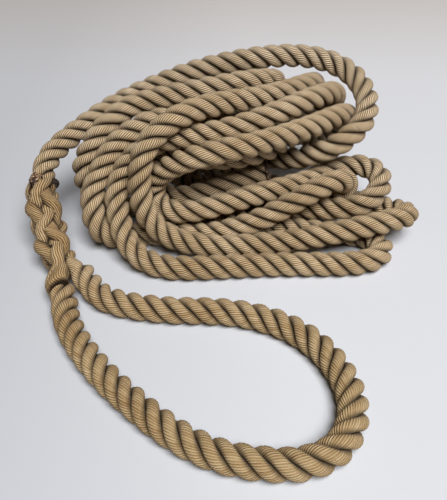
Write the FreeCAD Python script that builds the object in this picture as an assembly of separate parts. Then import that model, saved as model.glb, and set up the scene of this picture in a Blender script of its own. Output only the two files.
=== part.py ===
import FreeCAD, Part
import os
from math import acos, cos, floor, pi, radians, sin, sqrt, tan

# A laid rope of three strands, in millimetres, +Z up. It lies on the plane z = 0,
# with the origin under the middle of its box and +Y along its longest side.
# A spliced eye lies in front, the standing part arches over the back, and the
# rest is a loose hank: long loops folded back over themselves once.

# Driving dimensions
rope_diameter = 24.0
flat_depth = 0.5                     # how deep the hank is pressed flat on the floor
core_widths = [(0.0, 17.5), (0.6, 15.0), (0.93, 14.0), (1.0, rope_diameter)]   # share of the splice, diameter
core_rings = 24
tuck_diameter = 10.0                 # one strand of the rope, laid flat round the splice
tuck_clearance = 0.6
tuck_count = 3
tuck_lay = 110.0                     # length in which a tuck goes once round the splice
tuck_start = 9.0                     # from the throat to the first turn of the tucks
tuck_lengths = [110.0, 106.0, 111.0]   # how far up the splice each tuck shows
tuck_angle = 165.0                   # where the first tuck ends round the splice, 90 for its top
tuck_steps = 15
tip_length = 5.0                     # melted end of a tucked strand
tip_flare = 0.6                      # how much wider than the strand it is
end_cap_length = 5.0                 # melted end of the rope
end_cap_bead = 0.4                   # how much wider than the rope it is
leg_gap = 0.5                        # between the two legs of the eye at the throat
leg_straight = 16.0                  # straight end of each leg at the throat
arc_share = 0.45                     # part of the shorter run that a corner's arc takes

# Settling of the hank
lie_gap = 2.2                        # room that touching runs push apart to
fold_radius = 22.0                   # the tightest bend the rope takes
settle_steps = 240
free_share = 0.3                     # last part of the steps, in which nothing holds the runs back
home_pull = 0.03                     # how strongly a run is held where it was thrown
press_reach = 0.7                    # how close to the floor a run is before it lies flat on it
stiffness = 0.06
step_size = 0.4
search_room = 12.0
samples = (1 / 6, 3 / 6, 5 / 6)      # where each stretch between two route points is tested

# Routes. The uncoiled stretches are lists of points, corner by corner.
eye_route = [
    (-113, -37, 12), (-93, -46, 12), (-70, -51, 12), (-46, -54, 12), (-18, -54, 12),
    (14, -58, 12), (46, -71, 12), (70, -92, 12), (85, -118, 12), (92, -146, 12), (89, -174, 12),
    (73, -198, 12), (48, -208, 12), (21, -207, 12), (-5, -202, 12), (-28, -191, 12), (-50, -175, 12),
    (-73, -154, 12), (-96, -131, 12), (-117, -107, 12), (-134, -82, 12), (-145, -57, 12)]

splice_route = [
    (-148, -15, 15.4), (-157, -2, 18), (-165, 12, 22), (-171, 26, 28), (-175, 39, 36), (-179, 51, 45),
    (-183, 64, 54), (-185, 78, 61), (-185, 90, 67)]

standing_route = [
    (-182, 104, 75), (-171, 120, 83), (-154, 136, 91), (-132, 152, 102), (-104, 167, 113), (-70, 178, 124),
    (-35, 182, 136), (0, 184, 144), (32, 188, 148), (65, 193, 149), (97, 195, 145), (123, 188, 137),
    (139, 169, 127), (144, 145, 115), (136, 125, 102), (118, 113, 91)]

# The hank, run by run, as it was thrown down. Between two runs the rope turns back
# in a half circle, so a run's first and last place are the two ends of such a turn.
# Each run starts with how freely its first and last end give way to other runs: little
# where it lies on the outside of the hank, much where it lies inside.
hank_runs = [
    (0.3, 1.0, [(118, 113, 91), (107, 117, 80), (95, 125, 70), (81, 129, 62), (60, 138, 60), (36, 144, 57),
                (0, 146, 56), (-40, 154, 56)]),
    (1.0, 1.0, [(-42, 154, 13), (0, 134, 12), (50, 118, 14), (101, 114, 20)]),
    (0.6, 0.4, [(117, 92, 54), (98, 83, 52), (81, 77, 50), (57, 72, 42), (40, 66, 36), (21, 62, 31), (0, 57, 22),
                (-30, 62, 12), (-50, 77, 12), (-69, 86, 12), (-87, 82, 12), (-99, 69, 12), (-111, 53, 13)]),
    (0.3, 1.0, [(-119, 55, 28), (-122, 59, 42), (-124, 66, 56), (-123, 76, 72), (-116, 87, 88),
                (-102, 95, 101), (-88, 108, 112), (-73, 114, 119), (-57, 117, 124), (-40, 117, 118),
                (-20, 118, 108), (0, 128, 104), (45, 165, 94), (82, 203, 90)]),
    (0.2, 0.2, [(88, 178, 120), (75, 170, 123), (53, 153, 127), (33, 131, 129), (0, 107, 128), (-22, 95, 126),
                (-39, 89, 122), (-53, 82, 118), (-65, 77, 111), (-76, 70, 97), (-86, 63, 80), (-91, 57, 64),
                (-88, 51, 48), (-82, 47, 36), (-70, 44, 28), (-50, 38, 21), (-31, 32, 18), (0, 36, 15),
                (21, 44, 14), (60, 38, 18), (98, 34, 27), (125, 35, 31), (163, 46, 32)]),
    (0.6, 1.0, [(157, 94, 19), (131, 109, 12), (100, 130, 12), (50, 143, 12), (0, 160, 12), (-45, 179, 12)]),
    (1.0, 0.5, [(-50, 192, 108), (-20, 196, 116), (0, 197, 121), (20, 203, 123), (34, 203, 125)]),
    (0.2, 0.8, [(34, 153, 134), (20, 143, 134), (0, 133, 132), (-20, 130, 131), (-47, 140, 127),
                (-77, 136, 126), (-91, 132, 121), (-105, 124, 115), (-117, 116, 109), (-129, 106, 101),
                (-138, 100, 88), (-146, 97, 72), (-148, 99, 54), (-143, 102, 36), (-134, 104, 22),
                (-123, 105, 13), (-103, 108, 12), (-69, 111, 12), (-45, 104, 12), (0, 84, 12), (20, 77, 12),
                (50, 69, 12), (100, 61, 12), (138, 61, 12)]),
    (0.2, 0.4, [(138, 24, 12), (106, 18, 12), (68, 18, 12), (40, 20, 12), (21, 19, 12), (1, 13, 12), (-37, 2, 12),
                (-68, -1, 12), (-85, 9, 12), (-92, 28, 18), (-94, 42, 30), (-99, 51, 45), (-102, 59, 60),
                (-102, 70, 76), (-96, 83, 92), (-80, 87, 103), (-37, 84, 113), (-8, 84, 119), (25, 93, 121),
                (56, 118, 121), (85, 146, 117), (110, 168, 112)]),
    (1.0, 1.0, [(95, 190, 80), (60, 150, 88), (30, 110, 96), (0, 96, 98), (-20, 104, 98), (-45, 122, 97)]),
    (1.0, 0.3, [(-45, 129, 12), (0, 109, 12), (50, 93, 14), (69, 86, 20), (86, 80, 24), (104, 77, 28),
                (121, 79, 34), (137, 82, 40)]),
    (0.3, 0.3, [(138, 138, 59), (111, 126, 54), (96, 117, 51), (80, 107, 50), (63, 97, 49), (47, 89, 47),
                (27, 80, 42), (7, 73, 38), (-14, 67, 35), (-34, 62, 33), (-50, 62, 31), (-60, 67, 31)]),
    (0.3, 0.3, [(-58, 70, 88), (-46, 60, 97), (-34, 54, 103), (-17, 54, 107), (0, 57, 109), (20, 68, 110),
                (39, 82, 111), (54, 95, 111), (76, 117, 109), (99, 138, 105), (118, 150, 103)]),
    (0.4, 0.6, [(108, 168, 72), (99, 149, 79), (88, 133, 84), (73, 118, 86), (59, 107, 87), (43, 99, 88), (26, 93, 88),
                (9, 86, 89), (-5, 84, 89), (-22, 89, 89), (-44, 96, 86), (-66, 99, 79)]),
    (0.5, 0.5, [(-68, 98, 34), (-50, 92, 34), (-30, 90, 39), (-9, 92, 50), (12, 98, 52), (24, 103, 52),
                (34, 108, 51)])]


def vectors(points):
    return [FreeCAD.Vector(*p) for p in points]


def unit(vector):
    return vector / vector.Length


def half_circle(start, end, before, after):
    """The four corners round a half circle from start to end. Its tip lies the way that the runs
    on both sides point, square to the line from start to end."""
    across = end - start
    radius = across.Length / 2
    outward = unit(start - before) + unit(end - after)
    outward = unit(outward - across * (outward.dot(across) / across.dot(across)))
    corner = tan(pi / 8)
    near = (1 - corner) / 2
    return [start + outward * radius * corner,
            start + outward * radius + across * near,
            start + outward * radius + across * (1 - near),
            end + outward * radius * corner]


def thrown_hank():
    """Route points of the hank before it settles, each run's own places and the turns between,
    and how freely each of them gives way."""
    route = []
    freedom = []
    last = None
    for first_give, last_give, places in hank_runs:
        run = vectors(places)
        if last:
            route += half_circle(last[-1], run[0], last[-2], run[1])
            freedom += [(freedom[-1] + first_give) / 2] * 4
        inner = run[1:-1]
        route += inner
        steps = len(inner) - 1
        freedom += [first_give + (last_give - first_give) * i / steps for i in range(steps + 1)]
        last = run
    return route + [last[-1]], freedom + [freedom[-1]]


def shares_along(count):
    """For each tested place: its middle route point, and the weights of that point and its two
    neighbours on the smooth quadratic line that the rope follows."""
    last = count - 1
    shares = []
    for middle in range(1, last):
        for t in samples:
            before = (1 - t) ** 2 / (1 if middle == 1 else 2)
            after = t ** 2 / (1 if middle == last - 1 else 2)
            shares.append((middle, before, 1 - before - after, after))
    return shares


def smooth_places(points, shares):
    places = []
    for i, a, b, c in shares:
        p, q, r = points[i - 1], points[i], points[i + 1]
        places.append([a * p[k] + b * q[k] + c * r[k] for k in range(3)])
    return places


def distances_along(places):
    along = [0.0]
    for p, q in zip(places, places[1:]):
        along.append(along[-1] + sqrt(sum((a - b) ** 2 for a, b in zip(p, q))))
    return along


def close_pairs(places, along, room):
    """Pairs of places nearer to each other than room and further apart along the rope than a
    half turn, found through a grid of cubes, and pairs within a half turn, which keep it open."""
    half_turn = pi * fold_radius
    cubes = {}
    for index, p in enumerate(places):
        cubes.setdefault(tuple(floor(v / room) for v in p), []).append(index)
    steps = (-1, 0, 1)
    pairs = []
    for (x, y, z), members in cubes.items():
        around = [k for i in steps for j in steps for h in steps for k in cubes.get((x + i, y + j, z + h), ())]
        for j in members:
            p = places[j]
            for k in around:
                if k > j and along[k] - along[j] > half_turn:
                    q = places[k]
                    if (p[0] - q[0]) ** 2 + (p[1] - q[1]) ** 2 + (p[2] - q[2]) ** 2 < room ** 2:
                        pairs.append((j, k))
    for j in range(len(places)):
        k = j + 2
        while k < len(places) and along[k] - along[j] < half_turn:
            pairs.append((j, k))
            k += 2
    return pairs


def settled(points, freedom):
    """Let the thrown rope settle: where two runs would share one place they push each other apart
    until they lie side by side, no bend closes below the fold radius, nothing sinks into the
    floor, and the rope's own stiffness evens it out. Points without freedom stay where they are."""
    points = [list(p) for p in points]
    home = [tuple(p) for p in points]
    shares = shares_along(len(points))
    half_turn = pi * fold_radius
    wanted_gap = rope_diameter + lie_gap
    lowest = rope_diameter / 2 - flat_depth
    for step in range(settle_steps):
        places = smooth_places(points, shares)
        along = distances_along(places)
        if step % 5 == 0:
            pairs = close_pairs(places, along, wanted_gap + search_room)
        pushes = [[0.0, 0.0, 0.0, 0] for _ in places]
        for j, k in pairs:
            p, q = places[j], places[k]
            dx, dy, dz = q[0] - p[0], q[1] - p[1], q[2] - p[2]
            apart = sqrt(dx * dx + dy * dy + dz * dz) + 1e-9
            run = along[k] - along[j]
            wanted = wanted_gap if run > half_turn else 2 * fold_radius * sin(run / 2 / fold_radius)
            if apart < wanted:
                share = (wanted - apart) / 2 / apart
                for push, sign in ((pushes[j], -share), (pushes[k], share)):
                    push[0] += dx * sign
                    push[1] += dy * sign
                    push[2] += dz * sign
                    push[3] += 1
        moves = [[0.0, 0.0, 0.0] for _ in points]
        for (i, a, b, c), place, push in zip(shares, places, pushes):
            ease = 1 / sqrt(push[3]) if push[3] else 0.0
            x, y, z = push[0] * ease, push[1] * ease, push[2] * ease + max(0.0, lowest - place[2])
            for index, share in ((i - 1, a), (i, b), (i + 1, c)):
                moves[index][0] += share * x
                moves[index][1] += share * y
                moves[index][2] += share * z
        pull = home_pull if step < (1 - free_share) * settle_steps else 0.0
        bends = [[0.0] * 3 for _ in points]
        for i in range(1, len(points) - 1):
            bends[i] = [(a + b) / 2 - c for a, b, c in zip(points[i - 1], points[i + 1], points[i])]
        bends.append([0.0] * 3)
        for i, give in enumerate(freedom):
            if give:
                for k in range(3):
                    even = bends[i][k] - (bends[i - 1][k] + bends[i + 1][k]) / 2
                    back = pull * (1 - give) * (home[i][k] - points[i][k])
                    points[i][k] += moves[i][k] * step_size * give + stiffness * even + back
    return [FreeCAD.Vector(*p) for p in points]


def pressed_flat(points):
    """Where the rope lies on the floor, its own weight presses it evenly into it."""
    lowest = rope_diameter / 2 - flat_depth
    return [FreeCAD.Vector(p.x, p.y, lowest) if p.z < lowest + press_reach else p for p in points]


def report_gap(name, points):
    """Print the least room between two stretches of one tube that aren't neighbours."""
    places = smooth_places(points, shares_along(len(points)))
    along = distances_along(places)
    least = min(sqrt(sum((a - b) ** 2 for a, b in zip(places[j], places[k])))
                for j, k in close_pairs(places, along, 2 * rope_diameter)
                if along[k] - along[j] > pi * fold_radius)
    print("%s: %.0f mm long, least gap to itself %.2f mm" % (name, along[-1], least - rope_diameter))


def arc_wire(points, name):
    """Straight runs joined by tangent arcs, each as large as its two runs allow."""
    edges = []
    radii = []
    here = points[0]
    for before, corner, after in zip(points, points[1:], points[2:]):
        arriving = unit(corner - before)
        leaving = unit(after - corner)
        turn = acos(max(-1.0, min(1.0, arriving.dot(leaving))))
        reach = arc_share * min((corner - before).Length, (after - corner).Length)
        radii.append(reach / tan(turn / 2))
        start = corner - arriving * reach
        end = corner + leaving * reach
        bulge = reach * (1 / cos(turn / 2) - 1) / tan(turn / 2)
        inward = unit(leaving - arriving)
        middle = corner + inward * bulge
        edges.append(Part.LineSegment(here, start).toShape())
        edges.append(Part.Arc(start, middle, end).toShape())
        here = end
    edges.append(Part.LineSegment(here, points[-1]).toShape())
    print("%s: %d corners, least radius %.1f mm" % (name, len(radii), min(radii)))
    print("   radii " + " ".join("%.0f" % r for r in radii))
    return Part.Wire(edges)


def tube(points, diameter, name):
    """A round tube along the route, whose volume is set against its section times its length."""
    wire = arc_wire(points, name)
    ring = Part.Wire([Part.makeCircle(diameter / 2, points[0], unit(points[1] - points[0]))])
    solid = wire.makePipeShell([ring], True, False)
    expected = pi * diameter ** 2 / 4 * wire.Length
    print("   length %.0f mm, volume %.4f of section times length" % (wire.Length, solid.Volume / expected))
    return solid


def side_of(direction):
    """A level direction square to the given one, on its right."""
    return unit(direction.cross(FreeCAD.Vector(0, 0, 1)))


def eye_points():
    """The eye's two legs leave the throat side by side, and its route lies between them."""
    throat, onward = vectors(splice_route)[:2]
    axis = unit(onward - throat)
    right = side_of(axis)
    reach = (rope_diameter + leg_gap) / 2
    straight = axis * leg_straight
    legs = [throat + right * reach, throat - right * reach]
    turns = []
    for leg in legs:
        corner = leg - straight
        turns.append(FreeCAD.Vector(corner.x, corner.y, max(corner.z, rope_diameter / 2)))
    return [legs[0], turns[0]] + vectors(eye_route) + [turns[1], legs[1]]


def splice_line():
    """Places and directions along the splice, at the middle of each run of its route."""
    route = vectors(splice_route)
    places = [route[0]] + [(a + b) / 2 for a, b in zip(route[1:], route[2:-1])] + [route[-1]]
    ways = [unit(route[1] - route[0])]
    ways += [unit(b - a) for a, b in zip(route[1:], route[2:-1])]
    ways.append(unit(vectors(standing_route)[0] - route[-1]))
    return places, ways


def along_splice(distance):
    """Where the splice's line is at a distance from the throat, and which way it goes there."""
    places, ways = splice_line()
    for here, there, way, next_way in zip(places, places[1:], ways, ways[1:]):
        run = (there - here).Length
        if distance <= run or there is places[-1]:
            share = distance / run
            return here + (there - here) * share, unit(way * (1 - share) + next_way * share)
        distance -= run


def splice_length():
    places, ways = splice_line()
    return sum((b - a).Length for a, b in zip(places, places[1:]))


def core_diameter(distance):
    share = distance / splice_length()
    for (near, narrow), (far, wide) in zip(core_widths, core_widths[1:]):
        if share <= far or far == 1:
            return narrow + (wide - narrow) * (share - near) / (far - near)


def splice_core():
    """The rope inside the splice: a round body that thins from the throat on, where the tucks lie
    round it, and widens to the plain rope at the top."""
    rings = []
    for index in range(core_rings + 1):
        distance = splice_length() * index / core_rings
        place, way = along_splice(distance)
        rings.append(Part.Wire([Part.makeCircle(core_diameter(distance) / 2, place, way)]))
    return Part.makeLoft(rings, True, True)


def tuck_route(number):
    """One strand of the eye's end, wound left-handed up the splice outside the core."""
    length = tuck_lengths[number]
    points = []
    for step in range(tuck_steps + 1):
        distance = tuck_start + (length - tuck_start) * step / tuck_steps
        place, way = along_splice(distance)
        right = side_of(way)
        up = right.cross(way)
        turn = 360 * (distance - tuck_lengths[0]) / tuck_lay
        angle = radians(tuck_angle + number * 360 / tuck_count + turn)
        reach = core_diameter(distance) / 2 + tuck_clearance + tuck_diameter / 2
        points.append(place + right * cos(angle) * reach + up * sin(angle) * reach)
    return points


def melted_bead(place, way, diameter, length):
    """A short barrel with a domed end, which a heated strand or rope end leaves."""
    radius = diameter / 2
    widths = [0.92, 1.0, 0.97, 0.72]
    rings = []
    for index, width in enumerate(widths):
        centre = place + way * (length * index / (len(widths) - 1))
        rings.append(Part.Wire([Part.makeCircle(radius * width, centre, way)]))
    return Part.makeLoft(rings, True, True)


def flat_bottomed(solid):
    """Keep what is above the floor, so the pressed runs get flat undersides."""
    box = solid.BoundBox
    margin = rope_diameter
    above = Part.makeBox(box.XLength + 2 * margin, box.YLength + 2 * margin, box.ZMax + margin,
                         FreeCAD.Vector(box.XMin - margin, box.YMin - margin, 0))
    return solid.common(above)


def all_pieces():
    """Every piece with its name."""
    pieces = [("eye_loop", flat_bottomed(tube(pressed_flat(eye_points()), rope_diameter, "eye_loop")))]
    pieces.append(("splice_core", splice_core()))
    for number in range(tuck_count):
        route = tuck_route(number)
        pieces.append(("tucked_strand_%d" % (number + 1), tube(route, tuck_diameter, "tucked_strand")))
        way = unit(route[-1] - route[-2])
        tip = melted_bead(route[-1], way, tuck_diameter + tip_flare, tip_length)
        pieces.append(("melted_strand_tip_%d" % (number + 1), tip))

    standing = [vectors(splice_route)[-1]] + vectors(standing_route)
    join = (standing[-2] + standing[-1]) / 2
    pieces.append(("standing_part", tube(standing[:-1] + [join], rope_diameter, "standing_part")))

    thrown, freedom = thrown_hank()
    route = pressed_flat(settled(standing + thrown, [0.0] * len(standing) + freedom))
    report_gap("rope behind the splice", route)
    hank = [join] + route[len(standing) - 1:]
    pieces.append(("hank", flat_bottomed(tube(hank, rope_diameter, "hank"))))
    way = unit(hank[-1] - hank[-2])
    pieces.append(("sealed_rope_end", melted_bead(hank[-1], way, rope_diameter + end_cap_bead, end_cap_length)))
    return pieces


def main():
    pieces = all_pieces()
    box = Part.makeCompound([shape for _, shape in pieces]).optimalBoundingBox(False, False)
    to_origin = FreeCAD.Vector(-box.Center.x, -box.Center.y, 0)
    print("moved to the middle of the box by %.2f %.2f %.2f" % tuple(to_origin))
    os.makedirs("parts", exist_ok=True)
    for name, shape in pieces:
        shape.translate(to_origin)
        shape.exportStep("parts/%s.step" % name)
        print("%s: %d solid, volume %.0f cubic mm" % (name, len(shape.Solids), shape.Volume))


main()
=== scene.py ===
from math import floor, pi, sin, sqrt, tan

import bpy
import numpy as np
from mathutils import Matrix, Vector


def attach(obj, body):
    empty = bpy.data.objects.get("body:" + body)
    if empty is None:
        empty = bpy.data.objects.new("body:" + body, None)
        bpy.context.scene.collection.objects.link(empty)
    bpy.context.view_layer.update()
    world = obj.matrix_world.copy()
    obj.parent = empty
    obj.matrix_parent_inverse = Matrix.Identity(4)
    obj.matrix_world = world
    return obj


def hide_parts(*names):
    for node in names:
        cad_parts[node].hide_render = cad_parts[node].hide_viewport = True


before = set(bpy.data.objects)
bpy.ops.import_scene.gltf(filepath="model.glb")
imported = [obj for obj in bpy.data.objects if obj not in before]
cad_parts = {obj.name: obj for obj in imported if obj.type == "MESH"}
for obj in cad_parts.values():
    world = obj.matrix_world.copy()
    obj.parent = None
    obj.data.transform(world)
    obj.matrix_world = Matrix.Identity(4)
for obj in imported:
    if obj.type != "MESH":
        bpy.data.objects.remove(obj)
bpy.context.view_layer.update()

# A laid rope of three strands with a spliced eye. Sizes are in millimetres, and MM turns them into
# metres. Routes are the part's own, apart from the splice and the eye's left leg, whose points lie
# up to 2.5 mm from the part's, and the moves listed below.
MM = 0.001
rope_diameter = 24.0
lay_length = 48.0                # one full turn of a strand round the rope
flat_depth = 0.5                 # how far below the floor the settling rope may sink
leg_gap = 0.5                    # between the eye's two legs at the throat
leg_straight = 16.0              # how far both run straight from there
top_within = (0.0, 0.2)          # metres from the throat between which the splice's top is sought
join_within = (0.3, 0.8)         # and the hank's beginning
to_origin = np.array([5.15, 0.81, 0.0])  # from the routes' own origin to the frame's

# Settling of the hank, as in the part
lie_gap = 2.2                    # room that touching runs push apart to
fold_radius = 22.0               # the tightest bend the rope takes
settle_steps = 240
free_share = 0.3                 # last part of the steps, with nothing that holds the runs
home_pull = 0.03                 # how strongly a run is held where it was thrown
stiffness = 0.06                 # how much of a bend is evened out in each step
step_size = 0.4
search_room = 12.0               # how much further apart pairs are listed than they push
list_steps = 5                   # steps that one list of pairs serves for
samples = (1 / 6, 3 / 6, 5 / 6)  # where the smooth line's stretch at each route point is tested
spline_steps = 14                # points of the line in each such stretch

# A strand's section, in shares of the rope's radius, and its mesh
strand_fullness = (2.2, 1.9)     # how square its outside is, and how steep its sides are
braid_fullness = (2.2, 2.0)      # the same in the splice, where a strand is rounder
groove_share = 0.36              # where two strands meet
heart_share = 0.05               # where its inside lies
outer_sides = 11
inner_sides = 3
rings_in_lay = 22
fine_rings_in_lay = 36           # in the eye and the splice

# The splice, in millimetres along it and degrees round it
splice_girth = [(0, 30), (20, 31), (38, 36.5), (90, 36.5), (104, 34), (114, 30), (126, 24)]
legs_join = 22.0                 # length in which the eye's two legs become one splice
closing_start = 112.0            # where it starts to become a plain rope again
opened_lay = 100.0               # lay of the rope's strands, opened by the tucks
tuck_lay = 133.0                 # and of the tucked strands, which is left-handed
tuck_lengths = [112.0, 115.0, 113.0]
tuck_angle = 258.0               # where the first tuck ends: 180 is the left, 270 the top
strand_dive = 0.33               # how much lower than a crest a strand dives under the next
full_under = 0.77                # the share of the dive from which on it is at its widest
groove_in_splice = 0.5           # groove and inside, in shares of the splice's radius
heart_in_splice = 0.2

# Half widths of a strand in the splice, in degrees: of the rope's own strands, 1, and of the
# tucked ones, -1, side by side with others and over one, and of both kinds under one
side_half_width = {1: 30.0, -1: 38.0}
over_half_width = {1: 37.0, -1: 47.0}
under_half_width = 61.0

# The collar, one of the rope's strands, which wraps over the left leg at the throat
collar_strand = 2
collar_turn = 156.0              # how much further round it starts, in degrees
collar_reach = 16.0              # length in which it turns back to its own place
collar_half_width = 66.0
collar_rise = 6.5                # how high it lies on the leg
collar_top = (7.0, 21.0)         # where it comes down from there
collar_back = 11.0               # how far its edge lies before the throat
collar_home = 34.0               # from where on it lies in its own place
collar_round = 4.0               # length in which its edge is rounded
collar_lip = 0.82                # how high its edge is, as a share of the rest
collar_shade = 5.0               # how far the painted groove shade reaches up from its edge
collar_opened = 0.6              # how far its yarns open up

# The tails of the tucked strands, their melted tips, and the far end's cap
tail_length = 12.0
tail_rise = 0.5
tail_width = 12.0
tail_thickness = 9.0
tip_sizes = [(11.5, 15.0, 6.0), (9.0, 10.0, 5.0), (10.0, 12.0, 5.0)]  # across, along and outwards
tip_blackness = [0.0, 0.9, 0.5]       # how black each tip is
tip_lean = 2.0                   # how far it turns outwards, with half-way as 1
tip_sink = 0.5                   # how much of it lies inside its strand
tip_seeds = [0.6, 2.3, 4.0]
end_cap_length = 6.0
end_cap_sink = 1.0
end_cap_char = 0.5
end_cap_seed = 2.2
lump_rings = 14
lump_sides = 40
lump_waves = [(0.06, 3, 5, 1), (0.05, 5, -9, 2), (0.04, 11, 16, 5)]  # height, waves round, along, shift
lump_slant = 0.25
lump_belly = 0.1                 # how much wider it is half-way
lump_end = 0.02                  # the square of its flat end's width

# The yarns. A scale is a number of features in a metre.
yarns_open = {1: 0.45, -1: 1.0}  # how far the rope's own strands, 1, and the tucked ones open up
yarn_spread = 0.8                # lines across an opened strand, as a share of a closed one's
yarn_follow = 0.5                # 1 where yarns run along the rope, 0 along their own strand
yarns_round = 35.0               # lines round the rope
yarn_tilt = 4.5                  # lines that a yarn crosses in one lay
wander_scale = 45.0
wander_lines = 0.5               # how far a yarn strays from its line
ruffle_scale = 230.0
ruffle_lines = 1.2               # how far it strays besides where the strand has opened
shades_in_lay = 3.0              # how often a yarn's own shade changes along it
shades_across = 0.55             # and from one line to the next
fibre_scale = 1500.0
patch_scale = 22.0
hank_depth = (-0.12, 0.2)        # in metres from the middle: the hank's yarns stand out more, and it is lighter by painted light

# What makes the yarn lighter, in shares of its range of colours
line_light = 0.14                # lines on the eye, and what is added on the hank and taken
line_light_hank = 0.69           # away where a strand has opened
line_light_opened = 0.07
shade_light = 0.46
fibre_light = 0.26
patch_light = 0.3
opened_dark = 0.14
# painted light: the hank further back is made lighter, standing in for more light there
hank_painted_light = 0.05
plain_light = 0.09
groove_shade_edge = (0.5, 1.0)         # where on a strand the painted shade of the groove begins, and how fast it grows
groove_shade_power = 1.5               # grows
line_height = 0.6
line_height_opened = 0.25        # how much lower lines are where a strand has opened
shade_height = 0.35
fibre_height = 0.35
rope_bump = 0.0012               # in metres

# The melted yarn
cell_scale = 420.0
cell_light = 0.55
lump_scale = 420.0
lump_light = 0.6
pore_scale = 650.0
melted_bump = 0.0008

# Colours, as a screen shows them from 0 to 255, with their places in a ramp
rope_colours = [(0.0, (62, 37, 15)), (0.3, (130, 99, 60)), (0.52, (178, 154, 115)), (0.75, (214, 195, 165)),
                (1.0, (240, 229, 209))]
# painted shade down in the grooves between strands
groove_shade_colour = (34, 17, 4)
melted_colours = [(0.0, (16, 9, 6)), (0.5, (52, 33, 23)), (0.6, (104, 73, 52)), (0.72, (190, 161, 128)),
                  (1.0, (214, 188, 156))]
# the black mixed into a melted end, as far as its map says
melted_black = (10, 7, 6)
# the floor's pale colour, with painted light in its tones from the front to the back
floor_colours_and_light = [(0.0, (197, 200, 205)), (0.3, (204, 206, 211)), (0.5, (212, 213, 217)),
                 (0.75, (210, 205, 202)), (1.0, (203, 195, 190))]
# painted shade on the floor's left
floor_left_painted_shade = (216, 217, 219)
rope_finish = {"Roughness": 0.9, "Specular IOR Level": 0.15, "Sheen Weight": 0.08, "Sheen Roughness": 0.5,
               "Sheen Tint": (1.0, 0.85, 0.65, 1.0)}
melted_finish = {"Roughness": 0.5, "Specular IOR Level": 0.4}
floor_finish = {"Roughness": 0.7}

# The floor, the light and the camera, in metres
floor_half = 4.0
floor_depth = (-0.4, 1.4)        # its colours and painted light run from the front to the back and its left is darker by painted shade, less so far behind
floor_side = (-0.3, 0.05)        # and its left is darker,
floor_side_fade = 0.75           # less so far behind
softbox_place = (0.86, -2.16, 3.74)
softbox_aim = (0.0, 0.05, 0.0)
softbox_size = 2.2
softbox_power = 295.0
softbox_tint = (1.0, 0.995, 0.995)
room_tint = (1.0, 0.85, 0.68, 1.0)
room_light = 0.04
camera_place = (-5.0, -460.0, 384.0)  # in millimetres, beside the routes
camera_dip = 37.0                # degrees below the level
camera_distance = 630.0          # from the eye to the image, in pixels of the photograph
image_height = 500.0

# Routes. Uncoiled stretches are lists of points, corner by corner. The eye lies on the floor.
eye_route = [
    (-113, -37), (-93, -46), (-70, -51), (-46, -54), (-18, -54), (14, -58), (46, -71), (70, -92),
    (85, -118), (92, -146), (89, -174), (73, -198), (48, -208), (21, -207), (-5, -202), (-28, -191),
    (-50, -175), (-73, -154), (-96, -131), (-116, -106), (-132, -81), (-143, -56)]

splice_route = [
    (-145.5, -15, 15.4), (-154.5, -2, 18), (-162.5, 12, 22), (-169, 26, 28), (-174, 39, 36), (-179, 51, 45),
    (-183, 64, 54), (-185, 78, 61), (-185, 90, 67)]

standing_route = [
    (-182, 104, 75), (-171, 120, 83), (-154, 136, 91), (-132, 152, 102), (-104, 167, 113), (-70, 178, 124),
    (-35, 182, 136), (0, 184, 144), (32, 188, 148), (65, 193, 149), (97, 195, 145), (123, 188, 137),
    (139, 169, 127), (144, 145, 115), (136, 125, 102), (118, 113, 91)]

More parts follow.
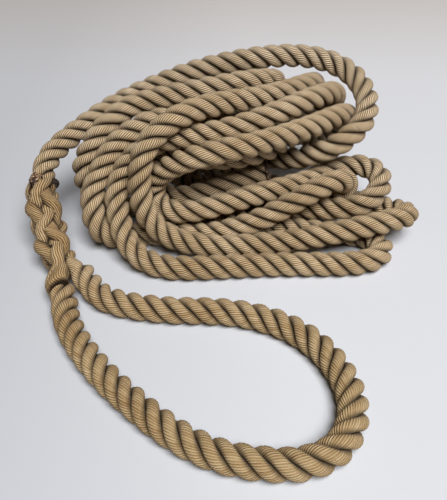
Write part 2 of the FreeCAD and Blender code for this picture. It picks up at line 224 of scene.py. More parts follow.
# The hank, run by run, as it was thrown down. The rope turns back in a half circle from a run's last
# place to the next one's first. Each run starts with how freely its first and last end give way to
# other runs: little on the outside of the hank, much inside.
hank_runs = [
    (0.3, 1.0, [
        (118, 113, 91), (107, 117, 80), (95, 125, 70), (81, 129, 62), (60, 138, 60), (36, 144, 57),
        (0, 146, 56), (-40, 154, 56)]),
    (1.0, 1.0, [
        (-42, 154, 13), (0, 134, 12), (50, 118, 14), (101, 114, 20)]),
    (0.6, 0.4, [
        (117, 92, 54), (98, 83, 52), (81, 77, 50), (57, 72, 42), (40, 66, 36), (21, 62, 31), (0, 57, 22),
        (-30, 62, 12), (-50, 77, 12), (-69, 86, 12), (-87, 82, 12), (-99, 69, 12), (-111, 53, 13)]),
    (0.3, 1.0, [
        (-119, 55, 28), (-122, 59, 42), (-124, 66, 56), (-123, 76, 72), (-116, 87, 88), (-102, 95, 101),
        (-88, 108, 112), (-73, 114, 119), (-57, 117, 124), (-40, 117, 118), (-20, 118, 108), (0, 128, 104),
        (45, 165, 94), (82, 203, 90)]),
    (0.2, 0.2, [
        (88, 178, 120), (75, 170, 123), (53, 153, 127), (33, 131, 129), (0, 107, 128), (-22, 95, 126),
        (-39, 89, 122), (-53, 82, 118), (-65, 77, 111), (-76, 70, 97), (-86, 63, 80), (-91, 57, 64),
        (-88, 51, 48), (-82, 47, 36), (-70, 44, 28), (-50, 38, 21), (-31, 32, 18), (0, 36, 15), (21, 44, 14),
        (60, 38, 18), (98, 34, 27), (125, 35, 31), (163, 46, 32)]),
    (0.6, 1.0, [
        (157, 94, 19), (131, 109, 12), (100, 130, 12), (50, 143, 12), (0, 160, 12), (-45, 179, 12)]),
    (1.0, 0.5, [
        (-50, 192, 108), (-20, 196, 116), (0, 197, 121), (20, 203, 123), (34, 203, 125)]),
    (0.2, 0.8, [
        (34, 153, 134), (20, 143, 134), (0, 133, 132), (-20, 130, 131), (-47, 140, 127), (-77, 136, 126),
        (-91, 132, 121), (-105, 124, 115), (-117, 116, 109), (-129, 106, 101), (-138, 100, 88),
        (-146, 97, 72), (-148, 99, 54), (-143, 102, 36), (-134, 104, 22), (-123, 105, 13), (-103, 108, 12),
        (-69, 111, 12), (-45, 104, 12), (0, 84, 12), (20, 77, 12), (50, 69, 12), (100, 61, 12),
        (138, 61, 12)]),
    (0.2, 0.4, [
        (138, 24, 12), (106, 18, 12), (68, 18, 12), (40, 20, 12), (21, 19, 12), (1, 13, 12), (-37, 2, 12),
        (-68, -1, 12), (-85, 9, 12), (-92, 28, 18), (-94, 42, 30), (-99, 51, 45), (-102, 59, 60),
        (-102, 70, 76), (-96, 83, 92), (-80, 87, 103), (-37, 84, 113), (-8, 84, 119), (25, 93, 121),
        (56, 118, 121), (85, 146, 117), (110, 168, 112)]),
    (1.0, 1.0, [
        (95, 190, 80), (60, 150, 88), (30, 110, 96), (0, 96, 98), (-20, 104, 98), (-45, 122, 97)]),
    (1.0, 0.3, [
        (-45, 129, 12), (0, 109, 12), (50, 93, 14), (69, 86, 20), (86, 80, 24), (104, 77, 28), (121, 79, 34),
        (137, 82, 40)]),
    (0.3, 0.3, [
        (138, 138, 59), (111, 126, 54), (96, 117, 51), (80, 107, 50), (63, 97, 49), (47, 89, 47),
        (27, 80, 42), (7, 73, 38), (-14, 67, 35), (-34, 62, 33), (-50, 62, 31), (-60, 67, 31)]),
    (0.3, 0.3, [
        (-58, 70, 88), (-46, 60, 97), (-34, 54, 103), (-17, 54, 107), (0, 57, 109), (20, 68, 110),
        (39, 82, 111), (54, 95, 111), (76, 117, 109), (99, 138, 105), (118, 150, 103)]),
    (0.4, 0.6, [
        (108, 168, 72), (99, 149, 79), (88, 133, 84), (73, 118, 86), (59, 107, 87), (43, 99, 88),
        (26, 93, 88), (9, 86, 89), (-5, 84, 89), (-22, 89, 89), (-44, 96, 86), (-66, 99, 79)]),
    (0.5, 0.5, [
        (-68, 98, 34), (-50, 92, 34), (-30, 90, 39), (-9, 92, 50), (12, 98, 52), (24, 103, 52),
        (34, 108, 51)])]

# Small moves of settled places, which close the view through the folds as in the photograph: a
# run, a place in it, and how far it moves
hand_moves = {
    (2, 6): (0, -4, 0), (2, 7): (0, -9, 0), (2, 8): (0, -14, 0), (2, 9): (0, -17, 0), (2, 10): (0, -16, 0),
    (2, 11): (0, -8, 0),
    (3, 3): (4, 1, 0), (3, 4): (4, 2, -1), (3, 5): (4.5, 2, -2), (3, 6): (5.5, 1, -3), (3, 7): (2, 1, -2),
    (3, 8): (0, 0, -2), (3, 9): (0, 0, -2),
    (4, 8): (-2, 0, 0), (4, 9): (-2, 0, 0),
    (7, 8): (2, 0, -2), (7, 9): (3, 0, -2), (7, 10): (3, 0, -1),
    (8, 12): (-2, -1, 0), (8, 13): (-2, -2, 0), (8, 14): (-3, -2, 2.5), (8, 15): (-3, -1, 4),
    (8, 16): (0, 0, 2.5)}


def unit(v):
    """Vectors of length 1 the same way."""
    return v / np.linalg.norm(v, axis=-1, keepdims=True)


def half_circle(start, end, before, after):
    """The four corners round a half circle from start to end. Its tip lies the way that the runs
    on both sides point, square to the line from start to end."""
    across = end - start
    radius = np.linalg.norm(across) / 2
    outward = unit(start - before) + unit(end - after)
    outward = unit(outward - across * (outward @ across) / (across @ across))
    corner = tan(pi / 8)
    near = (1 - corner) / 2
    return [start + outward * radius * corner,
            start + outward * radius + across * near,
            start + outward * radius + across * (1 - near),
            end + outward * radius * corner]


def thrown_hank():
    """The hank's route points before it settles, runs and the turns between them, how freely each
    gives way, and which run and place it is."""
    route = []
    freedom = []
    names = []
    last = None
    for number, (first_give, last_give, places) in enumerate(hank_runs):
        run = [np.array(p, float) for p in places]
        if last:
            route += half_circle(last[-1], run[0], last[-2], run[1])
            freedom += [(freedom[-1] + first_give) / 2] * 4
            names += [None] * 4
        inner = run[1:-1]
        names += [(number, i + 1) for i in range(len(inner))]
        route += inner
        steps = len(inner) - 1
        freedom += [first_give + (last_give - first_give) * i / steps for i in range(steps + 1)]
        last = run
    return route + [last[-1]], freedom + [freedom[-1]], names + [None]


def shares_along(count):
    """For each tested place its middle route point, and the weights of that point and of the ones
    beside it on the smooth quadratic line that the rope follows."""
    last = count - 1
    shares = []
    for middle in range(1, last):
        for t in samples:
            before = (1 - t) ** 2 / (1 if middle == 1 else 2)
            after = t ** 2 / (1 if middle == last - 1 else 2)
            shares.append((middle, before, 1 - before - after, after))
    return shares


def smooth_places(points, shares):
    """The tested places on the line of these route points."""
    places = []
    for i, a, b, c in shares:
        p, q, r = points[i - 1], points[i], points[i + 1]
        places.append([a * p[k] + b * q[k] + c * r[k] for k in range(3)])
    return places


def distances_along(places):
    """How far along the rope each place is."""
    along = [0.0]
    for p, q in zip(places, places[1:]):
        along.append(along[-1] + sqrt(sum((a - b) ** 2 for a, b in zip(p, q))))
    return along


def close_pairs(places, along, room):
    """Pairs of places nearer to each other than room and further apart along the rope than a
    half turn, found through a grid of cubes, and pairs within a half turn, which keep it open."""
    half_turn = pi * fold_radius
    cubes = {}
    for index, p in enumerate(places):
        cubes.setdefault(tuple(floor(v / room) for v in p), []).append(index)
    steps = (-1, 0, 1)
    pairs = []
    for (x, y, z), members in cubes.items():
        near = [(x + i, y + j, z + k) for i in steps for j in steps for k in steps]
        around = [k for cube in near for k in cubes.get(cube, ())]
        for j in members:
            p = places[j]
            for k in around:
                if k > j and along[k] - along[j] > half_turn:
                    q = places[k]
                    if (p[0] - q[0]) ** 2 + (p[1] - q[1]) ** 2 + (p[2] - q[2]) ** 2 < room ** 2:
                        pairs.append((j, k))
    for j in range(len(places)):
        k = j + 2
        while k < len(places) and along[k] - along[j] < half_turn:
            pairs.append((j, k))
            k += 2
    return pairs


def settled(points, freedom):
    """Let the thrown rope settle: where two runs would share one place they push each other apart
    until they lie side by side, no bend closes below the fold radius, nothing sinks into the
    floor, and the rope's own stiffness evens it out. Points without freedom stay where they are."""
    points = [list(p) for p in points]
    home = [tuple(p) for p in points]
    shares = shares_along(len(points))
    half_turn = pi * fold_radius
    wanted_gap = rope_diameter + lie_gap
    lowest = rope_diameter / 2 - flat_depth
    for step in range(settle_steps):
        places = smooth_places(points, shares)
        along = distances_along(places)
        if step % list_steps == 0:
            pairs = close_pairs(places, along, wanted_gap + search_room)
        pushes = [[0.0, 0.0, 0.0, 0] for _ in places]
        for j, k in pairs:
            p, q = places[j], places[k]
            dx, dy, dz = q[0] - p[0], q[1] - p[1], q[2] - p[2]
            apart = sqrt(dx * dx + dy * dy + dz * dz) + 1e-9
            run = along[k] - along[j]
            wanted = wanted_gap if run > half_turn else 2 * fold_radius * sin(run / 2 / fold_radius)
            if apart < wanted:
                share = (wanted - apart) / 2 / apart
                for push, sign in ((pushes[j], -share), (pushes[k], share)):
                    push[0] += dx * sign
                    push[1] += dy * sign
                    push[2] += dz * sign
                    push[3] += 1
        moves = [[0.0, 0.0, 0.0] for _ in points]
        for (i, a, b, c), place, push in zip(shares, places, pushes):
            ease = 1 / sqrt(push[3]) if push[3] else 0.0
            x, y, z = push[0] * ease, push[1] * ease, push[2] * ease + max(0.0, lowest - place[2])
            for index, share in ((i - 1, a), (i, b), (i + 1, c)):
                moves[index][0] += share * x
                moves[index][1] += share * y
                moves[index][2] += share * z
        pull = home_pull if step < (1 - free_share) * settle_steps else 0.0
        bends = [[0.0] * 3 for _ in points]
        for i in range(1, len(points) - 1):
            bends[i] = [(a + b) / 2 - c for a, b, c in zip(points[i - 1], points[i + 1], points[i])]
        bends.append([0.0] * 3)
        for i, give in enumerate(freedom):
            if give:
                for k in range(3):
                    even = bends[i][k] - (bends[i - 1][k] + bends[i + 1][k]) / 2
                    back = pull * (1 - give) * (home[i][k] - points[i][k])
                    points[i][k] += moves[i][k] * step_size * give + stiffness * even + back
    return points


# Lines that the strands follow, in metres

def in_metres(points):
    return (np.array(points, float) + to_origin) * MM


def spline_line(points):
    """The smooth line of a route, as a fine row of points: a NURBS spline of order 3 whose control
    points are the route's."""
    curve = bpy.data.curves.new("route", "CURVE")
    curve.dimensions = "3D"
    curve.resolution_u = spline_steps
    spline = curve.splines.new("NURBS")
    spline.points.add(len(points) - 1)
    spline.points.foreach_set("co", np.column_stack([points, np.ones(len(points))]).ravel())
    spline.order_u = 3
    spline.use_endpoint_u = True
    holder = bpy.data.objects.new("route", curve)
    mesh = bpy.data.meshes.new_from_object(holder)
    line = np.zeros(len(mesh.vertices) * 3)
    mesh.vertices.foreach_get("co", line)
    bpy.data.objects.remove(holder)
    bpy.data.curves.remove(curve)
    bpy.data.meshes.remove(mesh)
    return line.reshape(-1, 3)


def evenly_spaced(line, step):
    """The same line with its points a step apart, and how far along each of them is."""
    along = np.concatenate([[0.0], np.cumsum(np.linalg.norm(np.diff(line, axis=0), axis=1))])
    places = np.linspace(0, along[-1], int(round(along[-1] / step)) + 1)
    return np.column_stack([np.interp(places, along, line[:, k]) for k in range(3)]), places


def frames_along(line, level_at=0):
    """The way the line goes at each point, and two directions square to it that turn no more than
    the line does: each pair is the last one mirrored twice, once between the points and once
    between the ways. At one of the points the first direction is level and the second one down."""
    way = unit(np.gradient(line, axis=0))
    across = np.zeros_like(line)
    across[0] = unit(np.cross(way[0], (0, 0, 1)))
    for i in range(len(line) - 1):
        step = line[i + 1] - line[i]
        a = across[i] - step * (2 * (step @ across[i]) / (step @ step))
        b = way[i] - step * (2 * (step @ way[i]) / (step @ step))
        turn = way[i + 1] - b
        size = turn @ turn
        across[i + 1] = a - turn * (2 * (turn @ a) / size) if size > 1e-16 else a
    down = np.cross(way, across)
    level = unit(np.cross(way[level_at], (0, 0, 1)))
    angle = np.arctan2(level @ down[level_at], level @ across[level_at])
    turned = across * np.cos(angle) + down * np.sin(angle)
    return way, turned, np.cross(way, turned)


def stretch_of(line, places, frames, first, last):
    """The stretch of a line from one distance along it to another, with its frames."""
    a, b = np.searchsorted(places, [first, last])
    keep = slice(a, b + 1)
    return line[keep], places[keep], tuple(f[keep] for f in frames)


def place_nearest(line, places, point, first, last):
    """How far along a line its nearest place to a point is, between two distances."""
    away = np.linalg.norm(line - point, axis=1)
    away[(places < first) | (places > last)] = np.inf
    return places[np.argmin(away)]


def row(value, line):
    """One value for each point of a line, as a column that sides can be laid beside."""
    return (np.ones(len(line)) * value)[:, None]


def mix(first, second, share):
    """The first value where the share is 0, and the second where it is 1."""
    return first + (second - first) * share


def smooth(value, low, high):
    """0 up to low, 1 from high on, and 3 t^2 - 2 t^3 between them."""
    t = np.clip((value - low) / (high - low), 0, 1)
    return t * t * (3 - 2 * t)


def closed(values):
    """The same row with its first value again at its end."""
    return np.concatenate([values, values[..., :1]], axis=-1)


# Meshes

def placed(name, data):
    """A new object in the scene."""
    piece = bpy.data.objects.new(name, data)
    bpy.context.scene.collection.objects.link(piece)
    return piece


def skin_object(name, skins, material, node):
    """One object from several closed skins. A skin is an array of rings by sides by three, its
    faces joining each ring to the next and each side to the one after it, with a flat cap on each
    end, and for each UV layer a map of rings by sides plus one by two."""
    points, corners, totals, round_faces = [], [], [], []
    layers = {key: [] for key in skins[0][1]}
    first = 0
    for rings, maps in skins:
        count, sides = rings.shape[:2]
        ring, side = np.meshgrid(np.arange(count - 1), np.arange(sides), indexing="ij")
        here = ring * sides
        after = (side + 1) % sides
        quads = np.stack([here + side, here + after, here + sides + after, here + sides + side], axis=-1)
        start = np.arange(sides)
        end = start + (count - 1) * sides
        points.append(rings.reshape(-1, 3))
        corners.append(first + np.concatenate([quads.ravel(), start[::-1], end]))
        totals.append(np.append(np.full(ring.size, 4), [sides, sides]))
        round_faces.append(np.append(np.full(ring.size, True), [False, False]))
        wide = ring * (sides + 1) + side
        uv = np.stack([wide, wide + 1, wide + sides + 2, wide + sides + 1], axis=-1)
        uv = np.concatenate([uv.ravel(), start[::-1], start + (count - 1) * (sides + 1)])
        for key, values in maps.items():
            layers[key].append(values.reshape(-1, 2)[uv])
        first += count * sides
    points, corners, totals, round_faces = map(np.concatenate, (points, corners, totals, round_faces))
    mesh = bpy.data.meshes.new(name)
    mesh.vertices.add(len(points))
    mesh.vertices.foreach_set("co", points.ravel())
    mesh.loops.add(len(corners))
    mesh.loops.foreach_set("vertex_index", corners.astype(np.int32))
    mesh.polygons.add(len(totals))
    mesh.polygons.foreach_set("loop_start", (np.cumsum(totals) - totals).astype(np.int32))
    mesh.polygons.foreach_set("loop_total", totals.astype(np.int32))
    mesh.polygons.foreach_set("use_smooth", round_faces)
    mesh.update(calc_edges=True)
    for key, values in layers.items():
        mesh.uv_layers.new(name=key).data.foreach_set("uv", np.concatenate(values).ravel())
    mesh.materials.append(material)
    piece = placed(name, mesh)
    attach(piece, "root")
    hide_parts(node)
    return piece


# The strands. A strand's section is a rounded wedge, for the plain rope a third of its round section.

def swell(share, fullness):
    """(1 - |u|^p)^(1/q): 1 in the middle of a strand and 0 at its edges."""
    return (1 - np.abs(share) ** fullness[0]) ** (1 / fullness[1])


def wedge_rings(line, frames, phase, width, crest, groove, heart, braided=0.0):
    """Rings of a strand round a line, in polar form about it. At the angle phase + u width, for u
    from -1 to 1, the outside lies at groove + (crest - groove) (1 - |u|^p)^(1/q), with p and q of
    the plain rope where braided is 0 and of the splice where it is 1, and the inside runs back at
    the radius heart. Gives the rings, their angles from the strand's middle, and u."""
    way, across, down = frames
    share = np.sin(np.linspace(-1, 1, outer_sides) * pi / 2)
    back = np.linspace(1, -1, inner_sides + 2)[1:-1]
    rise = mix(swell(share, strand_fullness), swell(share, braid_fullness), row(braided, line))
    outside = row(groove, line) + (row(crest, line) - row(groove, line)) * rise
    radius = np.hstack([outside, row(heart, line) * np.ones(inner_sides)])
    edge = np.concatenate([share, back])
    angle = row(width, line) * edge
    turn = (row(phase, line) + angle)[..., None]
    out = across[:, None] * np.cos(turn) + down[:, None] * np.sin(turn)
    return line[:, None] + radius[..., None] * out, angle, edge


def strand_maps(lays, turns, edge, opened=0.0):
    """The yarn map holds how far along a point is, in lays, and its place across the yarns, in
    turns round the rope. The strand map holds how near it is to the groove beside the strand,
    from 0 in the middle to 1, which sets the painted groove shade, and how far the strand has
    opened up, at most 1."""
    turns = closed(turns)
    along = row(lays, turns) + 0 * turns
    edge = np.abs(closed(edge)) + 0 * turns
    return {"yarn": np.stack([along, turns], axis=-1),
            "strand": np.stack([edge, row(opened, turns) + 0 * turns], axis=-1)}


def rope_skins(stretch, phase, lay=lay_length * MM):
    """The three strands of the plain rope along a line, turning right-handed round it, once in
    each lay."""
    line, places, frames = stretch
    radius = rope_diameter * MM / 2
    lays = places / lay
    skins = []
    for number in range(3):
        turned = phase + 2 * pi * (lays + number / 3)
        rings, angle, edge = wedge_rings(line, frames, turned, pi / 3, radius, groove_share * radius,
                                         heart_share * radius)
        skins.append((rings, strand_maps(lays, (turned[:, None] + angle) / (2 * pi), edge)))
    return skins


# The splice. The rope's own strands open up and run on along it right-handed. The three strands of
# the eye's end are tucked left-handed over one and under the next of them.

class Splice:
    """Along the splice's line, from the throat at 0 to its top: how far the legs have joined, how
    far it is braided, the angle of each kind of strand, which kind is over, and the girth."""

    def __init__(self, stretch):
        self.line, self.places, self.frames = stretch
        top = self.places[-1]
        self.joined = smooth(self.places, 0, legs_join * MM)
        self.closing = smooth(self.places, closing_start * MM, top)
        self.braided = self.joined * (1 - self.closing)
        laid = 1 / lay_length
        self.rope_rate = mix(laid, 1 / opened_lay, self.braided)
        self.tuck_rate = mix(laid, -1 / tuck_lay, self.joined)
        tip = tuck_lengths[0] * MM
        tip_angle = np.radians(tuck_angle)
        self.tuck = self.angle_from(self.tuck_rate, tip, tip_angle)
        self.rope = self.angle_from(self.rope_rate, tip, tip_angle + pi / 3)
        crossing = 3 * (self.rope - self.tuck) / (2 * pi)
        self.over = np.cos(pi * crossing)
        self.girth = np.interp(self.places / MM, *np.transpose(splice_girth)) / 2 * MM
        self.right = unit(np.cross(self.frames[0][0], (0, 0, 1)))

    def angle_from(self, rate, place, angle):
        """The angle that grows at a rate in turns per millimetre, with a given value at a place."""
        grown = np.cumsum(2 * pi * rate * np.gradient(self.places) / MM)
        return grown - np.interp(place, self.places, grown) + angle

    def skin(self, side, number, end=None):
        """One strand: of the rope, side 1, or tucked, side -1, and then up to its end."""
        tucked = side < 0
        collar = side > 0 and number == collar_strand
        angle = (self.tuck if tucked else self.rope) + 2 * pi * number / 3
        follow = mix(1.0, 0.0 if tucked else yarn_follow, self.braided)
        if collar:
            follow = self.closing
        rate = self.tuck_rate if tucked else self.rope_rate
        turned = self.angle_from(follow * rate, self.places[-1], angle[-1])
        radius = rope_diameter * MM / 2
        rise = side * self.over
        crest = mix(radius, self.girth * (1 - strand_dive * (1 - rise) / 2), self.braided)
        groove = mix(groove_share * radius, groove_in_splice * self.girth, self.braided)
        heart = mix(heart_share * radius, heart_in_splice * self.girth, self.braided)
        width = mix(side_half_width[side], over_half_width[side], smooth(rise, 0, 1))
        width = mix(width, under_half_width, smooth(-rise, 0, full_under))
        width = mix(pi / 3, np.radians(width), self.braided)
        if tucked:
            tail = smooth(self.places, end - tail_length * MM, end)
            crest = mix(crest, self.girth + tail_rise * MM, tail)
            width = mix(width, tail_width * MM / 2 / self.girth, tail)
            groove = mix(groove, crest - tail_thickness / 2 * MM, tail)
            heart = mix(heart, crest - tail_thickness * MM, tail)
        legs = self.right * (side * (rope_diameter + leg_gap) / 2 * MM) * (1 - self.joined)[:, None]
        opened = self.braided * yarns_open[side]
        if collar:
            legs, angle, crest, width, opened = self.collar(legs, angle, crest, width, opened)
        rings, angles, edge = wedge_rings(self.line + legs, self.frames, angle, width, crest, groove,
                                          heart, self.braided)
        if collar:
            # painted shade along the collar's edge, where it lies on the other leg
            shade = 1 - smooth(self.places / MM, 0, collar_shade)
            edge = np.maximum(np.abs(edge), shade[:, None])
        across = turned[:, None] + angles * (crest / radius * mix(1.0, yarn_spread, opened))[:, None]
        maps = strand_maps(self.places / lay_length / MM, across / (2 * pi), edge, opened)
        if tucked:
            keep = self.places <= end
            rings = rings[keep]
            maps = {key: values[keep] for key, values in maps.items()}
        return rings, maps

    def collar(self, legs, angle, crest, width, opened):
        """The collar strand's own values: it starts with a rounded edge on top of the other leg and
        runs over it to its own place in the splice."""
        place = self.places / MM
        turned = angle + np.radians(collar_turn) * np.exp(-place / collar_reach)
        on_top = 1 - smooth(place, *collar_top)
        edge = np.sqrt(1 - np.clip(1 - place / collar_round, 0, 1) ** 2)
        crest = (crest + collar_rise * MM * on_top) * mix(collar_lip, 1.0, edge)
        back = self.frames[0] * (collar_back * MM * (1 - smooth(place, 0, collar_home)))[:, None]
        width = mix(width, np.radians(collar_half_width), on_top)
        return -legs - back, turned, crest, width, np.maximum(opened, on_top * collar_opened)

    def out_at(self, place, angle):
        """The way the line goes at a place, and the way outwards at an angle there."""
        index = np.searchsorted(self.places, place)
        way, across, down = (f[index] for f in self.frames)
        return way, across * np.cos(angle) + down * np.sin(angle)


def melted_skin(centre, way, out, wide, thick, length, seed, char):
    """A melted end: a short lump along way, wide across it and thick outwards, whose end is domed
    and slanting, and whose skin is uneven by a sum of sines. Its map holds how black it is."""
    side = np.cross(way, out)
    share = np.linspace(0, 1, lump_rings)[:, None]
    turn = np.linspace(0, 2 * pi, lump_sides, endpoint=False)[None]
    bumps = sum(height * np.sin(round_it * turn + along * share + shift * seed)
                for height, round_it, along, shift in lump_waves)
    dome = np.sqrt(np.clip(1 - share ** 4, lump_end, 1)) * (1 + lump_belly * np.sin(share * pi))
    reach = dome * (1 + bumps)
    rise = share * length * (1 + lump_slant * np.sin(2 * turn + seed) * share)
    rings = (centre + way * rise[..., None] + out * (np.cos(turn) * reach * thick / 2)[..., None]
             + side * (np.sin(turn) * reach * wide / 2)[..., None])
    return rings, {"strand": np.full((lump_rings, lump_sides + 1, 2), char)}


# Materials

class Shade:
    """A socket of a material's node tree. Sums written with it add Math nodes."""

    def __init__(self, tree, socket=None):
        self.tree = tree
        self.socket = socket

    def node(self, kind, settings=None, inputs=None, output=0):
        """Add a node from its type, its settings, and the values or links of its inputs."""
        made = self.tree.nodes.new("ShaderNode" + kind)
        for key, value in (settings or {}).items():
            setattr(made, key, value)
        for key, value in (inputs or {}).items():
            if isinstance(value, Shade):
                self.tree.links.new(value.socket, made.inputs[key])
            else:
                made.inputs[key].default_value = value
        return Shade(self.tree, made.outputs[output])

    def maths(self, operation, *values):
        """Add a Math node."""
        return self.node("Math", {"operation": operation}, dict(enumerate(values)))

    def __add__(self, other):
        return self.maths("ADD", self, other)

    def __sub__(self, other):
        return self.maths("SUBTRACT", self, other)

    def __rsub__(self, other):
        return self.maths("SUBTRACT", other, self)

    def __mul__(self, other):
        return self.maths("MULTIPLY", self, other)

    def __pow__(self, other):
        return self.maths("POWER", self, other)

    def wave(self):
        """A sine of this many turns, from 0 to 1."""
        turn = self * (2 * pi)
        return turn.maths("SINE", turn) * 0.5 + 0.5

    def noise(self, scale, detail=2.0, roughness=0.5):
        """Noise from 0 to 1, with this vector as its place."""
        return self.node("TexNoise", None, {"Vector": self, "Scale": scale, "Detail": detail,
                                            "Roughness": roughness})

    def part(self, axis):
        """One coordinate of this vector."""
        return self.node("SeparateXYZ", None, {0: self}, axis)

    def between(self, low, high):
        """0 where this value is low or less, and 1 where it is high or more."""
        return self.node("MapRange", None, {"Value": self, "From Min": low, "From Max": high})

    def ramp(self, stops):
        """This value's colour between stops, given as a screen shows them."""
        made = self.node("ValToRGB", None, {"Fac": self})
        elements = made.socket.node.color_ramp.elements
        while len(elements) < len(stops):
            elements.new(1.0)
        for element, (place, colour) in zip(elements, stops):
            element.position = place
            element.color = srgb(*colour)
        return made

    def mixed(self, colour, flat, blend="MIX"):
        """The linked colour where this value is 0, and the flat one, blended with it, where it is 1."""
        return self.node("Mix", {"data_type": "RGBA", "blend_type": blend},
                         {"Factor": self, 6: colour, 7: srgb(*flat)}, 2)


def srgb(red, green, blue):
    """A colour from its values as a screen shows them, 0 to 255."""
    shown = np.array([red, green, blue]) / 255
    linear = np.where(shown <= 0.04045, shown / 12.92, ((shown + 0.055) / 1.055) ** 2.4)
    return (*linear.tolist(), 1.0)


def material_of(name, constants, colour, height=None, rise=0.0):
    """A material of one Principled shader, with a bump that rises by a height in metres."""
    material = bpy.data.materials.new(name)
    material.use_nodes = True
    tree = material.node_tree
    shader = tree.nodes["Principled BSDF"]
    for key, value in constants.items():
        shader.inputs[key].default_value = value
    start = Shade(tree)
    tree.links.new(colour(start).socket, shader.inputs["Base Color"])
    if height:
        bump = start.node("Bump", None, {"Strength": 1.0, "Distance": rise, "Height": height(start)})
        tree.links.new(bump.socket, shader.inputs["Normal"])
    return material


def uv_map(start, name):
    return start.node("UVMap", {"uv_map": name})


def object_place(start):
    return start.node("TexCoord", None, None, 3)


def opened_up(start):
    """How far the strand has opened up."""
    return uv_map(start, "strand").part(1)


def yarn_lines(start):
    """The count of yarn lines up to a point, whose fraction runs across one line. Lines wander a
    little, and more where the strand has opened."""
    place = object_place(start)
    yarn = uv_map(start, "yarn")
    wander = place.noise(wander_scale) * wander_lines
    wander = wander + place.noise(ruffle_scale) * opened_up(start) * ruffle_lines
    return yarn.part(1) * yarns_round + yarn.part(0) * yarn_tilt + wander


def yarn_shades(start):
    """Every yarn has its own shade, which changes slowly along it."""
    along = uv_map(start, "yarn").part(0) * shades_in_lay
    spot = start.node("CombineXYZ", None, {0: along, 1: yarn_lines(start)})
    return spot.noise(shades_across, detail=3.0, roughness=0.6)


def rope_colour(start):
    """Spun yarn: light yarns of several shades with darker lines between them, fine specks where
    fibres stand out, darker patches, painted brown shade down in the grooves, and painted light
    on the hank further back."""
    place = object_place(start)
    opened = opened_up(start)
    hank = place.part(1).between(*hank_depth)
    contrast = hank * line_light_hank - opened * line_light_opened + line_light
    light = (yarn_lines(start).wave() - 0.5) * contrast + yarn_shades(start) * shade_light
    light = light + place.noise(fibre_scale) * fibre_light
    light = light + (place.noise(patch_scale, detail=3.0) - 0.5) * patch_light
    # painted light on the hank further back
    light = light - opened * opened_dark + hank * hank_painted_light + plain_light
    # painted shade: each strand darkens towards the grooves at its sides
    groove = uv_map(start, "strand").part(0).between(*groove_shade_edge) ** groove_shade_power
    return groove.mixed(light.ramp(rope_colours), groove_shade_colour)


def rope_height(start):
    """Yarns stand up between their lines, some more than others, with fibres on them."""
    lines = yarn_lines(start).wave() * (line_height - opened_up(start) * line_height_opened)
    return lines + yarn_shades(start) * shade_height + object_place(start).noise(fibre_scale) * fibre_height


def cells(place, scale):
    """The distance to the nearest of scattered points."""
    return place.node("TexVoronoi", {"feature": "F1"}, {"Vector": place, "Scale": scale})


def melted_colour(start):
    """Yarn ends melted hard: dark brown, with lighter specks where fibres stand in the lump."""
    place = object_place(start)
    light = (1 - cells(place, cell_scale)) * cell_light + place.noise(lump_scale, detail=3.0) * lump_light
    return uv_map(start, "strand").part(0).mixed(light.ramp(melted_colours), melted_black)


def melted_height(start):
    place = object_place(start)
    return cells(place, pore_scale) + place.noise(lump_scale, detail=3.0)


def floor_colour(start):
    """A plain pale floor, bluish in front, warmer and greyer far behind, with its tones from front to back
    as painted light and its left darker by painted shade.
    """
    place = object_place(start)
    back = place.part(1).between(*floor_depth)
    left = 1 - place.part(0).between(*floor_side)
    # painted shade on the left, fading far behind
    left_shade = left * (1 - back * floor_side_fade)
    return left_shade.mixed(back.ramp(floor_colours_and_light), floor_left_painted_shade, "MULTIPLY")


# The rope behind the eye

def rope_line():
    """The evenly spaced line from the throat to the end of the hank, and the distances along it to
    the splice's top and to the hank's beginning."""
    standing = [splice_route[-1]] + standing_route
    thrown, freedom, names = thrown_hank()
    route = settled([np.array(p, float) for p in standing] + thrown, [0.0] * len(standing) + freedom)
    moves = [hand_moves.get(name, (0, 0, 0)) for name in [None] * len(standing) + names]
    route = [[a + b for a, b in zip(place, move)] for place, move in zip(route, moves)]
    on_floor = [(x, y, max(z, rope_diameter / 2)) for x, y, z in route]
    points = in_metres(splice_route[:-1] + on_floor)
    line, places = evenly_spaced(spline_line(points), lay_length * MM / rings_in_lay)
    top = place_nearest(line, places, in_metres([splice_route[-1]])[0], *top_within)
    join = in_metres([(np.array(standing[-2]) + np.array(standing[-1])) / 2])[0]
    return line, places, top, place_nearest(line, places, join, *join_within)


def finer(stretch, step):
    """The same stretch with its points and frames closer together."""
    line, places, frames = stretch
    count = int(round((places[-1] - places[0]) / step)) + 1
    closer = np.linspace(places[0], places[-1], count)
    rows = [np.column_stack([np.interp(closer, places, v[:, k]) for k in range(3)]) for v in (line, *frames)]
    return rows[0], closer, tuple(rows[1:])


def eye_points():
    """The eye's two legs leave the throat side by side, and its route lies between them."""
    throat, onward = (np.array(p, float) for p in splice_route[:2])
    axis = unit(onward - throat)
    right = unit(np.cross(axis, (0, 0, 1)))
    reach = (rope_diameter + leg_gap) / 2
    legs = [throat + right * reach, throat - right * reach]
    turns = [leg - axis * leg_straight for leg in legs]
    for turn in turns:
        turn[2] = max(turn[2], rope_diameter / 2)
    flat = [np.array([x, y, rope_diameter / 2]) for x, y in eye_route]
    return [legs[0], turns[0]] + flat + [turns[1], legs[1]]


def angle_in(frames, index, out):
    """The angle of a direction in the frame at one point of a line."""
    way, across, down = (f[index] for f in frames)
    return np.arctan2(out @ down, out @ across)


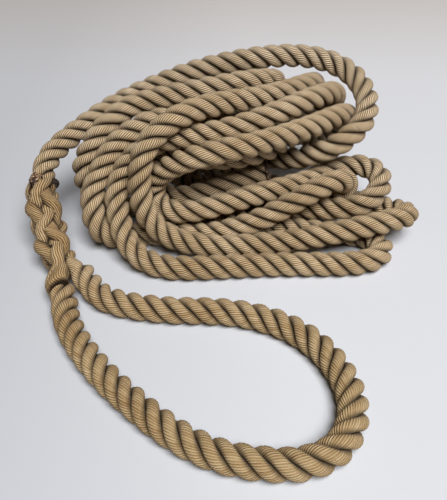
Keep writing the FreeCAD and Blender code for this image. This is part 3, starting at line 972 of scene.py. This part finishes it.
def make_eye(splice, cloth):
    """The eye's strands begin as the rope's own ones at the throat and end as the tucked ones, so
    its lay is stretched a little for both ends to meet theirs."""
    line, places = evenly_spaced(spline_line(in_metres(eye_points())), lay_length * MM / fine_rings_in_lay)
    frames = frames_along(line)
    first = angle_in(frames, 0, splice.out_at(0.0, splice.rope[0])[1])
    last = angle_in(frames, -1, splice.out_at(0.0, splice.tuck[0])[1])
    part = (last - first) / (2 * pi)
    turns = part + round((places[-1] / MM / lay_length - part) * 3) / 3
    skins = rope_skins((line, places, frames), first, places[-1] / turns)
    piece = skin_object("eye_strands", skins, cloth, "eye_loop")


def make_splice(splice, cloth, melted):
    """The splice's pieces: the rope's strands in it, the tucked ones, and their melted tips."""
    skins = [splice.skin(1, number) for number in range(3)]
    pieces = [skin_object("splice_rope_strands", skins, cloth, "splice_core")]
    for number, length in enumerate(tuck_lengths):
        end = length * MM
        tag = str(number + 1)
        rings, maps = splice.skin(-1, number, end)
        pieces.append(skin_object("tucked_strand_skin_" + tag, [(rings, maps)], cloth,
                                  "tucked_strand_" + tag))
        angle = np.interp(end, splice.places, splice.tuck) + 2 * pi * number / 3
        way, out = splice.out_at(end, angle)
        ahead = unit(way + out * tip_lean)
        back = unit(out - ahead * (out @ ahead))
        wide, high, reach = (size * MM for size in tip_sizes[number])
        centre = rings[-1][:outer_sides].mean(axis=0) - ahead * reach * tip_sink
        lump = melted_skin(centre, ahead, back, wide, high, reach, tip_seeds[number], tip_blackness[number])
        pieces.append(skin_object("melted_tip_skin_" + tag, [lump], melted,
                                  "melted_strand_tip_" + tag))
    return pieces


def make_rope(cloth, melted):
    """All of the rope, from the eye to the far end of the hank."""
    line, places, top, join = rope_line()
    frames = frames_along(line, int(np.searchsorted(places, top)))
    splice = Splice(finer(stretch_of(line, places, frames, 0.0, top), lay_length * MM / fine_rings_in_lay))
    phase = splice.rope[-1] - 2 * pi * splice.places[-1] / (lay_length * MM)
    on_standing = make_splice(splice, cloth, melted)
    make_eye(splice, cloth)
    diameter = rope_diameter * MM

    stretch = stretch_of(line, places, frames, top, join)
    skins = rope_skins(stretch, phase)
    piece = skin_object("standing_strands", skins, cloth, "standing_part")
    float(join - top)

    stretch = stretch_of(line, places, frames, join, places[-1])
    skins = rope_skins(stretch, phase)
    piece = skin_object("hank_strands", skins, cloth, "hank")
    way, across = frames[0][-1], frames[1][-1]
    lump = melted_skin(line[-1] - way * end_cap_sink * MM, way, across, diameter, diameter,
                       end_cap_length * MM, end_cap_seed, end_cap_char)
    cap = skin_object("sealed_end_skin", [lump], melted, "sealed_rope_end")
    float(places[-1] - join)


# Floor, light and camera

def make_floor():
    corners = [(x * floor_half, y * floor_half, 0) for x, y in ((-1, -1), (1, -1), (1, 1), (-1, 1))]
    mesh = bpy.data.meshes.new("floor")
    mesh.from_pydata(corners, [], [(0, 1, 2, 3)])
    mesh.materials.append(material_of("pale_floor", floor_finish, floor_colour))
    piece = placed("floor", mesh)


def make_lights():
    lamp = bpy.data.lights.new("softbox", "AREA")
    lamp.size = softbox_size
    lamp.energy = softbox_power
    lamp.color = softbox_tint
    holder = placed("softbox", lamp)
    holder.location = softbox_place
    aim = Vector(softbox_aim) - Vector(softbox_place)
    holder.rotation_euler = aim.to_track_quat("-Z", "Y").to_euler()
    world = bpy.data.worlds.new("room")
    world.use_nodes = True
    background = world.node_tree.nodes["Background"]
    background.inputs["Color"].default_value = room_tint
    background.inputs["Strength"].default_value = room_light
    bpy.context.scene.world = world


def make_camera():
    camera = bpy.data.cameras.new("camera")
    camera.sensor_width = 36.0
    camera.lens = camera.sensor_width * camera_distance / image_height
    holder = placed("camera", camera)
    holder.location = in_metres([camera_place])[0]
    holder.rotation_euler = (np.radians(90.0 - camera_dip), 0.0, 0.0)
    bpy.context.scene.camera = holder


make_rope(material_of("laid_rope", rope_finish, rope_colour, rope_height, rope_bump),
          material_of("melted_yarn", melted_finish, melted_colour, melted_height, melted_bump))
make_floor()
make_lights()
make_camera()
bpy.context.scene.view_settings.view_transform = "Standard"
